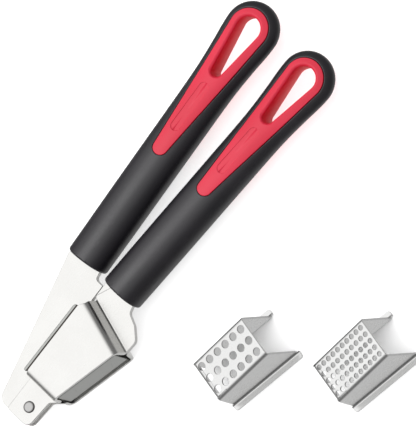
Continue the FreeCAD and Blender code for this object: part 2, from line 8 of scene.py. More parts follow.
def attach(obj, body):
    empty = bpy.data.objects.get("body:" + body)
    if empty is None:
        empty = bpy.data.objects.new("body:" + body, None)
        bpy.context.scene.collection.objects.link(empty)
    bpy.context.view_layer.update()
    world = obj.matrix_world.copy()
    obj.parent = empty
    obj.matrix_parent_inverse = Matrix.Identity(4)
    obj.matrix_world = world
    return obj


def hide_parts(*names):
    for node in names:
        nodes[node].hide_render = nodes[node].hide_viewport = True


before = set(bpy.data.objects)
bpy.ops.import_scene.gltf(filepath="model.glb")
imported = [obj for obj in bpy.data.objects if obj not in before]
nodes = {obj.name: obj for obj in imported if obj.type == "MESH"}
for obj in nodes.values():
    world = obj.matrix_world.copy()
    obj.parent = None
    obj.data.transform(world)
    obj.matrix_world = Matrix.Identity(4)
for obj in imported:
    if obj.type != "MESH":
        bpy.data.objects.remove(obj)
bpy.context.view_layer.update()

MM = 0.001


# ================================================================ hopper plates
# The lower lever is two mirrored stampings of 1.5 mm stainless sheet, flat at the rivet and in
# the grip and joggled outwards between them, so that together they make the walls of the hopper.
# They are blanked, folded, tumbled until their cut edges are broken, and left with a satin face.
class Value:
    """A node output that Python's operators work on."""

    def __init__(self, shade, socket):
        self.shade = shade
        self.socket = socket

    def _math(self, operation, *values):
        return self.shade.node("Math", {"operation": operation}, *values)

    def __add__(self, other):
        return self._math("ADD", self, other)

    def __sub__(self, other):
        return self._math("SUBTRACT", self, other)

    def __rsub__(self, other):
        return self._math("SUBTRACT", other, self)

    def __mul__(self, other):
        return self._math("MULTIPLY", self, other)

    __radd__ = __add__
    __rmul__ = __mul__

    def size(self):
        """Its distance from 0."""
        return self._math("ABSOLUTE", self)

    def step(self, low, high):
        """0 below low, 1 above high, smooth between them."""
        spread = {"interpolation_type": "SMOOTHSTEP"}
        return self.shade.node("MapRange", spread, self, low, high, 0.0, 1.0)


class Finish:
    """One surface finish: a Principled shader and the nodes that vary it over the piece."""

    def __init__(self, name, color, **fixed):
        self.material = bpy.data.materials.new(name)
        self.material.use_nodes = True
        self.tree = self.material.node_tree
        self.shader = self.tree.nodes["Principled BSDF"]
        self.material.diffuse_color = (*color, 1)
        self.shader.inputs["Base Color"].default_value = (*color, 1)
        for socket, value in fixed.items():
            self.shader.inputs[socket.replace("_", " ")].default_value = value

    def node(self, kind, settings, *values, output=0, **named):
        """Any node: its type, its settings, then the values or links of its sockets."""
        made = self.tree.nodes.new("ShaderNode" + kind)
        for key, value in settings.items():
            setattr(made, key, value)
        by_name = [(made.inputs[key], value) for key, value in named.items()]
        for socket, value in [*zip(made.inputs, values), *by_name]:
            if isinstance(value, Value):
                self.tree.links.new(value.socket, socket)
            elif value is not None:
                socket.default_value = value
        return Value(self, made.outputs[output])

    def place(self, scale=(1, 1, 1)):
        """Position on the piece, stretched as the finish needs."""
        where = self.node("TexCoord", {}, output="Object")
        return self.node("Mapping", {}, where, (0, 0, 0), (0, 0, 0), scale)

    def facing(self):
        """How squarely the surface faces up or down, 0 to 1, on the piece as it lies."""
        normal = self.node("TexCoord", {}, output="Normal")
        return self.node("SeparateXYZ", {}, normal, output=2).size()

    def noise(self, where, scale, detail=2.0, roughness=0.5):
        return self.node(
            "TexNoise", {}, Vector=where, Scale=scale, Detail=detail, Roughness=roughness
        )

    def mix(self, amount, first, second):
        """A colour between two colours."""
        made = self.tree.nodes.new("ShaderNodeMix")
        made.data_type = "RGBA"
        sockets = (made.inputs[0], made.inputs[6], made.inputs[7])
        for socket, value in zip(sockets, (amount, first, second)):
            if isinstance(value, Value):
                self.tree.links.new(value.socket, socket)
            else:
                socket.default_value = (*value, 1) if isinstance(value, tuple) else value
        return Value(self, made.outputs[2])

    def drive(self, socket, value):
        self.tree.links.new(value.socket, self.shader.inputs[socket])

    def relief(self, height, depth, strength=1.0):
        """Bump from a height between 0 and 1, depth metres at its most."""
        bump = self.node("Bump", {}, Height=height, Distance=depth, Strength=strength)
        self.drive("Normal", bump)


def plain_mesh(piece):
    """The piece with its modifiers worked into its mesh."""
    evaluated = piece.evaluated_get(bpy.context.evaluated_depsgraph_get())
    finished = bpy.data.meshes.new_from_object(evaluated)
    piece.modifiers.clear()
    piece.data = finished
    return piece


def put_in_scene(name, data):
    """A new object at the origin for a mesh, a lamp or a camera."""
    thing = bpy.data.objects.new(name, data)
    bpy.context.scene.collection.objects.link(thing)
    return thing


def smooth_but_edges(piece, corner):
    """Smooth shading that keeps flat faces flat and leaves corners sharper than corner degrees."""
    piece.data.shade_smooth()
    piece.data.set_sharp_from_angle(angle=math.radians(corner))
    weighted = piece.modifiers.new("flat faces", "WEIGHTED_NORMAL")
    weighted.keep_sharp = True
    weighted.weight = 100
    return plain_mesh(piece)


def closed_copy(node, name):
    """The node's own shape as one closed mesh."""
    mesh = bpy.data.meshes.new(name)
    shape = bmesh.new()
    shape.from_mesh(nodes[node].data)
    bmesh.ops.remove_doubles(shape, verts=shape.verts, dist=1e-6)
    shape.to_mesh(mesh)
    shape.free()
    return put_in_scene(name, mesh)


def broken_edges(piece, width, segments, corner):
    """The piece with every edge sharper than corner degrees rounded off."""
    broken = piece.modifiers.new("broken edge", "BEVEL")
    broken.width = width
    broken.segments = segments
    broken.limit_method = "ANGLE"
    broken.angle_limit = math.radians(corner)
    broken.use_clamp_overlap = False
    return plain_mesh(piece)


def pressed_sheet(node, name, edge):
    """The node's shape with its cut edges broken by edge metres, as tumbling leaves them."""
    piece = closed_copy(node, name)
    flat = bmesh.new()
    flat.from_mesh(piece.data)
    bmesh.ops.dissolve_limit(flat, angle_limit=FLAT, verts=flat.verts, edges=flat.edges)
    flat.to_mesh(piece.data)
    flat.free()
    return smooth_but_edges(broken_edges(piece, edge, 3, CORNER), CORNER)


def finish_piece(piece, material, body, slot, *stands_for):
    piece.data.materials.clear()
    piece.data.materials.append(material)
    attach(piece, body)
    if stands_for:
        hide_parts(*stands_for)


def satin_steel(name, color, roughness, painted_shade_mask=None):
    """Stainless steel, finely brushed and faintly clouded, and painted near-black as shade where
    the given mask says 1.
    """
    finish = Finish(name, color, Metallic=1.0)
    brushed = finish.noise(finish.place(BRUSHING), 260.0, 3.0, 0.6)
    clouds = finish.noise(finish.place(), 70.0, 3.0, 0.55)
    spots = finish.noise(finish.place(), 900.0, 1.0)
    finish.drive("Roughness", roughness + (clouds - 0.5) * 0.10 + (brushed - 0.5) * 0.12)
    shade = clouds.step(0.35, 0.7) * 0.6 + brushed * 0.4
    darker = tuple(c * 0.93 for c in color)
    metal = finish.mix(shade, darker, color)
    # Painted shade: where the mask says 1 the colour turns near-black.
    if painted_shade_mask:
        metal = finish.mix(painted_shade_mask(finish), metal, PAINTED_SHADE_COLOR)
    finish.drive("Base Color", metal)
    finish.relief(brushed * 0.7 + spots * 0.3, 0.006 * MM, 0.5)
    return finish.material


CORNER = 50                          # degrees; what turns more is an edge, not a bend
FLAT = math.radians(0.4)
SHEET_EDGE = 0.20 * MM
BRUSHING = (1.0, 26.0, 26.0)         # its lines run along x
LEVER_METAL = (0.677, 0.672, 0.656)
# the near-black colour of the painted shade on the steel
PAINTED_SHADE_COLOR = (0.040, 0.034, 0.030)
TAB_END = (-25.0 * MM, -21.0 * MM)   # x, from the flat tab to where the plate turns outwards
CUT_SIDE, FLAT_FACE = (0.06, 0.20), (0.88, 0.985)   # how squarely each faces up or down


def edge_painted_shade(finish):
    """Painted shade: 1 on the broken edge between a flat sheet's faces and its cut sides, 0 on both
    of them, so the edges show as dark outlines.
    """
    facing = finish.facing()
    return facing.step(*CUT_SIDE) * (1 - facing.step(*FLAT_FACE))


def tab_edge_painted_shade(finish):
    """The same painted shade, round the pivot tab only."""
    x = finish.node("SeparateXYZ", {}, finish.place(), output=0)
    return edge_painted_shade(finish) * (1 - x.step(*TAB_END))


# Painted shade: the hopper plates' broken edges round the pivot tab are painted near-black, as dark
# outlines.
hopper_steel = satin_steel("satin_hopper_steel", LEVER_METAL, 0.27, painted_shade_mask=tab_edge_painted_shade)
for side in ("left", "right"):
    plate = pressed_sheet(f"hopper_plate_{side}", f"hopper_stamping_{side}", SHEET_EDGE)
    finish_piece(plate, hopper_steel, "lower_lever", "lever_steel", f"hopper_plate_{side}")


# ================================================================ upper lever plates
# Two flat blanks of the same sheet, back to back inside the plunger, each with a foot folded
# outwards along its lower edge and spot-welded to the plunger's web.
# Painted shade: the lever plates' broken edges are painted near-black all round, as dark outlines.
lever_steel = satin_steel("satin_lever_steel", LEVER_METAL, 0.27, painted_shade_mask=edge_painted_shade)
for side in ("left", "right"):
    plate = pressed_sheet(f"lever_plate_{side}", f"lever_blank_{side}", SHEET_EDGE)
    finish_piece(plate, lever_steel, "upper_lever", "lever_steel", f"lever_plate_{side}")


# ================================================================ plunger
# A U of 1.2 mm stainless sheet that fills the hopper and carries the garlic to the exit. It is
# folded and left more matt than the levers, and its colour is painted darker than theirs as
# shade for where it sits inside the hopper.
EDGE_HEIGHT, EDGE_RISE = 12.42 * MM, math.tan(math.radians(3.0))
# how far below and above the hopper's top edge the plunger's sides are painted dark as shade
PAINTED_LINE_FROM, PAINTED_LINE_TO = (-1.0 * MM, 0.0), (1.55 * MM, 1.85 * MM)
PLUNGER_EDGE = 0.55 * MM


def painted_shade_behind_hopper_edge(finish):
    """Painted shade: 1 on a strip of the plunger's sides just behind the hopper's top edge, 0
    elsewhere, so a dark line shows along that edge.
    """
    where = finish.place()
    x = finish.node("SeparateXYZ", {}, where, output=0)
    y = finish.node("SeparateXYZ", {}, where, output=1)
    above = y - EDGE_HEIGHT - x * EDGE_RISE
    return above.step(*PAINTED_LINE_FROM) * (1 - above.step(*PAINTED_LINE_TO))


# Painted shade: the plunger's colour is darker than the levers' steel, and the mask paints a dark
# line behind the hopper's top edge.
plunger_steel = satin_steel(
    "matt_plunger_steel", (0.40, 0.405, 0.39), 0.36, painted_shade_mask=painted_shade_behind_hopper_edge
)
channel = pressed_sheet("plunger", "plunger_channel", PLUNGER_EDGE)
finish_piece(channel, plunger_steel, "upper_lever", "plunger_steel", "plunger")


# ================================================================ rivets
# A turned pivot rivet with two polished domed heads, and under the grips two plain rivets
# through each lever's tang. One node tree turns a rivet and sets one at each given point.
class Tree:
    """A geometry node tree with named inputs, whose nodes are made by one method."""

    def __init__(self, name, **inputs):
        self.group = bpy.data.node_groups.new(name, "GeometryNodeTree")
        sockets = self.group.interface
        for way in ("INPUT", "OUTPUT"):
            sockets.new_socket("Geometry", in_out=way, socket_type="NodeSocketGeometry")
        for key, kind in inputs.items():
            sockets.new_socket(key, in_out="INPUT", socket_type=f"NodeSocket{kind}")
        self.inputs = self.group.nodes.new("NodeGroupInput").outputs

    def node(self, kind, settings, *values, output=0, **named):
        """Any node: its type, its settings, then the values or links of its sockets."""
        full_kind = kind if kind.startswith("GeometryNode") else "ShaderNode" + kind
        made = self.group.nodes.new(full_kind)
        for key, value in settings.items():
            setattr(made, key, value)
        by_name = [(made.inputs[key], value) for key, value in named.items()]
        for socket, value in [*zip(made.inputs, values), *by_name]:
            links = value if isinstance(value, list) else [value]
            for one in links:
                if isinstance(one, Value):
                    self.group.links.new(one.socket, socket)
                elif one is not None:
                    socket.default_value = one
        return Value(self, made.outputs[output])

    def given(self, name):
        return Value(self, self.inputs[name])

    def give(self, geometry):
        self.group.links.new(geometry.socket, self.group.nodes.new("NodeGroupOutput").inputs[0])

    def run(self, piece, **inputs):
        """The piece as the tree leaves it, with its inputs set by their identifiers."""
        modifier = piece.modifiers.new(self.group.name, "NODES")
        modifier.node_group = self.group
        for item in self.group.interface.items_tree:
            if item.in_out == "INPUT" and item.name in inputs:
                modifier[item.identifier] = inputs[item.name]
        return plain_mesh(piece)


def rivet_tree():
    """Rivets along z at the points given: a shank, and a domed head beyond each end of the grip."""
    tree = Tree(
        "turned_rivets", Shank="Float", Head="Float", Height="Float", Grip="Float",
        Metal="Material",
    )
    shank, head, height, grip = (tree.given(name) for name in ("Shank", "Head", "Height", "Grip"))
    steps = 12
    line = tree.node("GeometryNodeMeshLine", {}, 2 * steps)
    index = tree.node("GeometryNodeInputIndex", {})
    centred = index - (steps - 0.5)
    side = tree.node("Math", {"operation": "SIGN"}, centred)
    rank = tree.node("Math", {"operation": "ABSOLUTE"}, centred) - 0.5
    dome = (rank - 2) * (math.pi / 2 / (steps - 3))
    inside = tree.node("Math", {"operation": "LESS_THAN"}, rank, 0.5)
    arc_radius = head * tree.node("Math", {"operation": "COSINE"}, dome)
    arc_height = height * tree.node("Math", {"operation": "SINE"}, dome)
    under = tree.node("Math", {"operation": "LESS_THAN"}, rank, 1.5) * (1 - inside)
    above = 1 - inside - under
    radius = inside * shank + under * head + above * arc_radius
    apart = 2e-6
    reach = grip + under * apart + above * (arc_height + 2 * apart)
    place = tree.node("CombineXYZ", {}, 0.0, 0.0, side * reach)
    line = tree.node("GeometryNodeSetPosition", {}, line, Position=place)
    curve = tree.node("GeometryNodeMeshToCurve", {}, line)
    curve = tree.node("GeometryNodeSetCurveRadius", {}, curve, Radius=radius)
    circle = tree.node("GeometryNodeCurvePrimitiveCircle", {}, 48, Radius=1.0)
    turned = tree.node("GeometryNodeCurveToMesh", {}, curve, circle, Scale=radius)
    merged = tree.node("GeometryNodeMergeByDistance", {}, turned, Distance=apart / 2)
    placed = tree.node("GeometryNodeInstanceOnPoints", {}, tree.given("Geometry"), Instance=merged)
    real = tree.node("GeometryNodeRealizeInstances", {}, placed)
    tree.give(tree.node("GeometryNodeSetMaterial", {}, real, Material=tree.given("Metal")))
    return tree


def rivets(name, points, **sizes):
    mesh = bpy.data.meshes.new(name)
    mesh.from_pydata(points, [], [])
    piece = put_in_scene(name, mesh)
    return smooth_but_edges(rivet_tree().run(piece, Metal=rivet_steel, **sizes), 40)


AXIS = Vector((-30.0, 3.0, 11.9))
GRIP_LINES = {                 # mm from the pivot to the near end, and the turn of its line
    "lower": (Vector((63.6, 2.75, 0)), math.radians(-0.3)),
    "upper": (Vector((63.3, 24.5, 0)), math.radians(5.5)),
}
TANG_RIVETS = (16.0, 44.0)     # mm along a grip
HEAD_RIM = (1.9 * MM, 2.9 * MM)


def rivet_rim_painted_shade(finish):
    """Painted shade: 1 round the rim of the pivot's heads, 0 at their middle, so the domes show a
    dark ring.
    """
    off = finish.node("VectorMath", {"operation": "SUBTRACT"}, finish.place(), tuple(AXIS * MM))
    flat = finish.node("VectorMath", {"operation": "MULTIPLY"}, off, (1, 1, 0))
    radius = finish.node("VectorMath", {"operation": "LENGTH"}, flat, output=1)
    return radius.step(*HEAD_RIM)


# Painted shade: the rivets' colour is darker than the levers' steel, and the mask paints a dark
# ring round the pivot's heads, for the dark reflections in the polished domes.
rivet_steel = satin_steel(
    "polished_rivet_steel", (0.44, 0.435, 0.43), 0.09, painted_shade_mask=rivet_rim_painted_shade
)
pivot = rivets(
    "pivot_rivet_turned", [AXIS * MM],
    Shank=2.0 * MM, Head=2.65 * MM, Height=1.1 * MM, Grip=3.1 * MM,
)
finish_piece(pivot, rivet_steel, "lower_lever", "rivet_steel", "pivot_rivet")
for level, (start, turned) in GRIP_LINES.items():
    along = Matrix.Rotation(turned, 3, "Z") @ Vector((1, 0, 0))
    places = [(AXIS + start + along * distance) * MM for distance in TANG_RIVETS]
    tang = rivets(
        f"{level}_tang_rivets_turned", places,
        Shank=1.6 * MM, Head=3.0 * MM, Height=0.7 * MM, Grip=1.5 * MM,
    )
    finish_piece(tang, rivet_steel, f"{level}_lever", "rivet_steel", f"{level}_tang_rivets")


# ================================================================ grip cores
# Red hard nylon core of each grip, moulded over the tang. It shows as the inlay on both faces
# and lines the hanging loop.
LOOP_PAINTED_LIGHT = (7.5 * MM, 16.0 * MM)   # z, over which the loop's walls turn from pale to deep red, painted light of the table's bounce low in the loop
LOOP_WALL = (0.35, 0.8)              # how squarely a wall and a face look up or down


def moulded_red():
    finish = Finish("red_grip_nylon", (0.70, 0.028, 0.062), Specular_IOR_Level=0.32)
    where = finish.place()
    grain = finish.noise(where, 2600.0, 2.0)
    clouds = finish.noise(where, 45.0, 3.0)
    # Painted light and shade: the loop's walls get a colour of their own, deeper red than the faces
    # high up and paler low down, for the shade in the loop and the table's light bouncing into it.
    upright = 1 - finish.facing().step(*LOOP_WALL)
    deep = 1 - finish.node("SeparateXYZ", {}, where, output=2).step(*LOOP_PAINTED_LIGHT)
    wall = finish.mix(deep, (0.70, 0.001, 0.024), (0.66, 0.14, 0.15))
    face = finish.mix(clouds.step(0.3, 0.7), (0.675, 0.026, 0.057), (0.725, 0.030, 0.067))
    finish.drive("Roughness", 0.44 + (grain - 0.5) * 0.14 + (clouds - 0.5) * 0.06 + upright * 0.3)
    finish.drive("Base Color", finish.mix(upright, face, wall))
    finish.relief(grain, 0.03 * MM, 0.35)
    return finish.material


GRIP_SECTIONS = (              # mm along the grip, half width, half thickness
    (0.0, 9.55, 9.9), (35.0, 9.85, 9.5), (70.0, 10.1, 8.6), (96.0, 10.5, 7.5),
    (110.0, 11.55, 6.9), (118.5, 12.5, 6.55), (124.3, 12.8, 6.4),
)
SQUARENESS = 2.3
HEAD = GRIP_SECTIONS[-1][0]
END_ROUND = 1.2
TINY = 1e-6
SKIN_DEPTH, SKIN_TURN = 0.12, 0.3    # mm below the outside and radians off it that still count
SEAM, KEPT_TURN = math.radians(40), math.radians(22)


def grip_size(along, column):
    """Half width or half thickness there and its slope, on a smooth curve through the sections."""
    last = len(GRIP_SECTIONS) - 1
    i = min(max(sum(s[0] <= along for s in GRIP_SECTIONS) - 1, 0), last - 1)
    xs = [GRIP_SECTIONS[min(max(j, 0), last)][0] for j in range(i - 1, i + 3)]
    ys = [GRIP_SECTIONS[min(max(j, 0), last)][column] for j in range(i - 1, i + 3)]
    span = xs[2] - xs[1]
    start = (ys[2] - ys[0]) / (xs[2] - xs[0])
    end = (ys[3] - ys[1]) / (xs[3] - xs[1]) if i < last - 1 else 0.0
    t = (along - xs[1]) / span
    size = (
        ys[1] * (2 * t ** 3 - 3 * t ** 2 + 1) + ys[2] * (3 * t ** 2 - 2 * t ** 3)
        + span * (start * (t ** 3 - 2 * t ** 2 + t) + end * (t ** 3 - t ** 2))
    )
    slope = (
        (ys[2] - ys[1]) * (6 * t - 6 * t ** 2) / span
        + start * (3 * t ** 2 - 4 * t + 1) + end * (3 * t ** 2 - 2 * t)
    )
    return size, slope


def moulded_normal(point):
    """How far a point in the grip's own frame is off its outside, and the outside's normal."""
    p = SQUARENESS
    past_head = point.x > HEAD
    width, width_slope = grip_size(min(point.x, HEAD), 1)
    thickness, thickness_slope = grip_size(min(point.x, HEAD), 2)
    across = math.hypot(point.x - HEAD, point.y) if past_head else abs(point.y)
    side = (across / width) ** p
    up = (abs(point.z) / thickness) ** p
    out = p * side / max(across, TINY)
    lift = p * up / max(abs(point.z), TINY)
    normal = Vector((0, math.copysign(out, point.y), math.copysign(lift, point.z)))
    if past_head:
        normal.x = out * (point.x - HEAD) / max(across, TINY)
        normal.y = out * point.y / max(across, TINY)
    else:
        normal.x = -p * (side * width_slope / width + up * thickness_slope / thickness)
    return (side + up - 1) / max(normal.length, TINY), normal.normalized()


def lies_outside(face):
    """Whether a face is part of the grip's moulded outside, not of a rim, a seam or the inside."""
    middle = face.calc_center_median()
    off, normal = moulded_normal(middle)
    turned = face.normal.angle(normal, math.pi)
    return middle.x > END_ROUND and off > -SKIN_DEPTH and turned < SKIN_TURN


def moulded(level, node, name):
    """A grip part's own shape with a finer outside, as smooth as the mould makes it."""
    piece = closed_copy(node, name)
    start, turned = GRIP_LINES[level]
    to_grip = (
        Matrix.Rotation(-turned, 4, "Z") @ Matrix.Translation(-(AXIS + start))
        @ Matrix.Scale(1 / MM, 4)
    )
    shape = bmesh.new()
    shape.from_mesh(piece.data)
    shape.transform(to_grip)
    shape.normal_update()
    skin = {edge for face in shape.faces if lies_outside(face) for edge in face.edges}
    bmesh.ops.subdivide_edges(shape, edges=list(skin), cuts=2, use_grid_fill=True)
    bmesh.ops.triangulate(shape, faces=shape.faces)
    shape.normal_update()
    skin = {vertex for face in shape.faces if lies_outside(face) for vertex in face.verts}
    for vertex in skin:
        off, normal = moulded_normal(vertex.co)
        vertex.co -= normal * off
    shape.verts.index_update()
    outside = {vertex.index: moulded_normal(vertex.co)[1] for vertex in skin}
    shape.to_mesh(piece.data)
    shape.free()
    mesh = piece.data
    mesh.shade_smooth()
    mesh.set_sharp_from_angle(angle=SEAM)
    normals = [Vector(corner.vector) for corner in mesh.corner_normals]
    for polygon in mesh.polygons:
        for loop in polygon.loop_indices:
            normal = outside.get(mesh.loops[loop].vertex_index)
            if normal and normal.angle(polygon.normal, math.pi) < KEPT_TURN:
                normals[loop] = normal
    mesh.normals_split_custom_set(normals)
    mesh.transform(to_grip.inverted())
    return piece


red_nylon = moulded_red()
grip_parts = []
for level in ("lower", "upper"):
    core = moulded(level, f"{level}_grip_core", f"{level}_red_core")
    finish_piece(core, red_nylon, f"{level}_lever", "red_core", f"{level}_grip_core")
    grip_parts.append(core)


# ================================================================ grip sleeves
# Black soft-touch rubber moulded over the core, finely grained, with rounded ends and a rounded
# lip along the seam round each inlay.
def soft_black():
    finish = Finish("black_soft_touch", (0.012, 0.010, 0.013), Specular_IOR_Level=0.55)
    where = finish.place()
    grain = finish.noise(where, 2300.0, 2.0, 0.6)
    clouds = finish.noise(where, 60.0, 3.0)
    finish.drive("Roughness", 0.43 + (grain - 0.5) * 0.16 + (clouds - 0.5) * 0.08)
    shade = finish.mix(clouds.step(0.3, 0.7), (0.010, 0.009, 0.012), (0.014, 0.012, 0.016))
    finish.drive("Base Color", shade)
    finish.relief(grain, 0.05 * MM, 0.5)
    return finish.material


black_rubber = soft_black()
for level in ("lower", "upper"):
    sleeve = moulded(level, f"{level}_grip_sleeve", f"{level}_black_sleeve")
    finish_piece(sleeve, black_rubber, f"{level}_lever", "black_sleeve", f"{level}_grip_sleeve")
    grip_parts.append(sleeve)


# ================================================================ sieve inserts
# Two loose wedges of 1 mm stainless sheet that drop into the hopper, one with coarse and one
# with fine holes. The sheet is folded down over both sides on to two flanges that stand on the
# table, its low end is bent down as a lip, and the holes are punched from above.
HALF, SHEET, BEND = 10.3, 1.0, 1.0
LOW, PLATE, WEDGE = 20.0, 31.4, math.radians(12.5)
FLANGE, OVERHANG, FLANGE_ROUND = 3.0, 0.9, 1.4
LIP, LIP_HALF, SLIT = 5.5, 8.9, 0.2
SPARE = 4.0                    # by which the fold is made too long and too wide, then cut
BEFORE, BEYOND = -9.0, 60.0    # x well before and beyond the sheet
FEET = 8.0                     # height below which nothing is cut away for the lip
TONGUE, SUNK = 6.0, 0.01       # the lip's reach into the plate, and how far inside it lies
BORE_SIDES = 28
INSERT_EDGE, HOLE_EASE = 0.10 * MM, 0.12 * MM
PLATE_ALONG = Vector((math.cos(WEDGE), 0, math.sin(WEDGE)))
PLATE_UP = Vector((-math.sin(WEDGE), 0, math.cos(WEDGE)))
LOW_EDGE = Vector((0, 0, LOW))
FAR_EDGE = LOW_EDGE + PLATE_ALONG * PLATE
FOOT_END = FAR_EDGE.x + FAR_EDGE.z * math.tan(WEDGE)
INSERT_TURN = math.radians(-10.0)


def arc(centre, radius, first, last, steps=7):
    """Points (a, b) round a centre, between two directions in degrees."""
    turns = [math.radians(first + (last - first) * i / steps) for i in range(steps + 1)]
    return [(centre[0] + radius * math.cos(t), centre[1] + radius * math.sin(t)) for t in turns]


def loft(name, rings):
    """A closed mesh through rings of points, each a strip's outline, out and back."""
    solid = bmesh.new()
    made = [[solid.verts.new(p) for p in ring] for ring in rings]
    count = len(rings[0])
    for one, two in zip(made, made[1:]):
        for i in range(count):
            solid.faces.new((one[i], one[(i + 1) % count], two[(i + 1) % count], two[i]))
    for end in (made[0], made[-1]):
        for i in range(count // 2 - 1):
            solid.faces.new((end[i], end[i + 1], end[count - 2 - i], end[count - 1 - i]))
    bmesh.ops.recalc_face_normals(solid, faces=solid.faces)
    mesh = bpy.data.meshes.new(name)
    solid.to_mesh(mesh)
    solid.free()
    return put_in_scene(name, mesh)


def bar(name, corners, low, high, upright=False):
    """A prism on an outline in side view, or in plan if it is upright, between two distances."""
    ends = [[(a, b, c) if upright else (a, c, b) for a, b in corners] for c in (low, high)]
    return loft(name, [[Vector(point) for point in ring] for ring in ends])


def folded_cover():
    """The plate, its two sides and the flanges as one bent sheet, longer and wider than it ends."""
    inner, out = HALF - SHEET, BEND + SHEET
    tip = HALF + FLANGE + SPARE
    outside = [(tip, SHEET)] + arc((HALF + BEND, out), BEND, 270, 180)
    over = arc((HALF - out, -out), out, 0, 90)
    under = arc((inner - BEND, -out), BEND, 90, 0)
    inside = arc((inner + out, out), out, 180, 270) + [(tip, 0.0)]
    half = [(a, b, False) for a, b in outside] + [(a, b, True) for a, b in over]
    back = [(a, b, True) for a, b in under] + [(a, b, False) for a, b in inside]
    other_half = [(-a, b, k) for a, b, k in half[::-1]]
    other_back = [(-a, b, k) for a, b, k in back[::-1]]
    section = [*half, *other_half, *other_back, *back]
    rings = []
    for x in (-SPARE, FOOT_END + SPARE):
        ring = []
        for across, up, sloping in section:
            rise = LOW + x * math.tan(WEDGE) + up / math.cos(WEDGE) if sloping else up
            ring.append(Vector((x, across, rise)))
        rings.append(ring)
    return loft("cover", rings)


def flange_outline():
    """Plan of the insert with its flanges, their corners rounded."""
    start, end = -OVERHANG + FLANGE_ROUND, FOOT_END + OVERHANG - FLANGE_ROUND
    side = HALF + FLANGE - FLANGE_ROUND
    return [
        *arc((end, side), FLANGE_ROUND, 0, 90), *arc((start, side), FLANGE_ROUND, 90, 180),
        *arc((start, -side), FLANGE_ROUND, 180, 270), *arc((end, -side), FLANGE_ROUND, 270, 360),
    ]


def joined(first, operation, *others):
    """The first piece with the others added to it or cut from it."""
    for other in others:
        cut = first.modifiers.new(operation, "BOOLEAN")
        cut.operation = operation
        cut.solver = "EXACT"
        cut.object = other
    plain_mesh(first)
    for other in others:
        bpy.data.objects.remove(other)
    return first


def trimmed(cover):
    """The bent sheet cut to its plan, and its plate and sides cut to their two ends."""
    tall, wall = 2 * LOW, HALF + 0.02
    plan = bar("plan", flange_outline(), -1, tall, upright=True)
    near = bar("near", [(BEFORE, -2), (0, -2), (0, tall), (BEFORE, tall)], -wall, wall)
    top = FAR_EDGE + PLATE_UP * LOW
    foot = FAR_EDGE - PLATE_UP * (2 * LOW)
    past = [(foot.x, foot.z), (BEYOND, foot.z), (BEYOND, top.z), (top.x, top.z)]
    far = bar("far", past, -wall, wall)
    slot_half, slot_end = LIP_HALF + SLIT, BEND + SHEET
    bent = [(-1, FEET), (slot_end, FEET), (slot_end, tall), (-1, tall)]
    slot = bar("slot", bent, -slot_half, slot_half)
    return joined(joined(cover, "INTERSECT", plan), "DIFFERENCE", near, far, slot)


def end_lip():
    """The low end of the plate, a strip bent down between the sides."""
    out, rise = BEND + SHEET, math.tan(WEDGE)
    half_angle = (math.pi / 2 + WEDGE) / 2
    reach = out / math.tan(half_angle)
    centre = (out, LOW - reach)
    bend = arc(centre, out, 180, 90 + math.degrees(WEDGE), 8)
    inside = arc(centre, BEND, 90 + math.degrees(WEDGE), 180, 8)
    top = LOW + TONGUE * rise - SUNK
    bottom = LOW + TONGUE * rise - SHEET / math.cos(WEDGE) + SUNK
    section = [
        (0.0, LOW - LIP), *bend, (TONGUE, top), (TONGUE, bottom), *inside, (SHEET, LOW - LIP),
    ]
    rings = [[Vector((a, y, b)) for a, b in section] for y in (-LIP_HALF, LIP_HALF)]
    return loft("lip", rings)


def sieve_tree():
    """A sheet with a grid of holes punched square to its sloping plate, eased at the top."""
    tree = Tree(
        "punched_sieve", Rows="Int", Columns="Int", RowStep="Float", ColumnStep="Float",
        Radius="Float", Ease="Float", Middle="Vector", Slope="Vector", Metal="Material",
    )
    rows, columns = tree.given("Rows"), tree.given("Columns")
    radius, ease = tree.given("Radius"), tree.given("Ease")
    grid = tree.node(
        "GeometryNodeMeshGrid", {}, (rows - 1) * tree.given("RowStep"),
        (columns - 1) * tree.given("ColumnStep"), rows, columns,
    )
    deep = 4 * MM
    bore = tree.node("GeometryNodeMeshCylinder", {}, BORE_SIDES, 1, 1, radius, deep)
    bore = tree.node("GeometryNodeTransform", {}, bore, Translation=(0, 0, -deep / 2 + 0.5 * MM))
    funnel = tree.node(
        "GeometryNodeMeshCone", {}, BORE_SIDES, 2, 1,
        radius + ease * 2, radius - ease * 0.02, ease * 2.02,
    )
    funnel = tree.node(
        "GeometryNodeTransform", {}, funnel,
        Translation=tree.node("CombineXYZ", {}, 0.0, 0.0, -1 * ease),
    )
    union = {"operation": "UNION", "solver": "MANIFOLD"}
    punch = tree.node("GeometryNodeMeshBoolean", union, None, [bore, funnel])
    set_out = tree.node("GeometryNodeInstanceOnPoints", {}, grid, Instance=punch)
    punches = tree.node("GeometryNodeRealizeInstances", {}, set_out)
    punches = tree.node(
        "GeometryNodeTransform", {}, punches,
        Translation=tree.given("Middle"), Rotation=tree.given("Slope"),
    )
    sieve = tree.node(
        "GeometryNodeMeshBoolean", {"operation": "DIFFERENCE", "solver": "MANIFOLD"},
        tree.given("Geometry"), punches,
    )
    real = tree.node("GeometryNodeRealizeInstances", {}, sieve)
    tree.give(tree.node("GeometryNodeSetMaterial", {}, real, Material=tree.given("Metal")))
    return tree


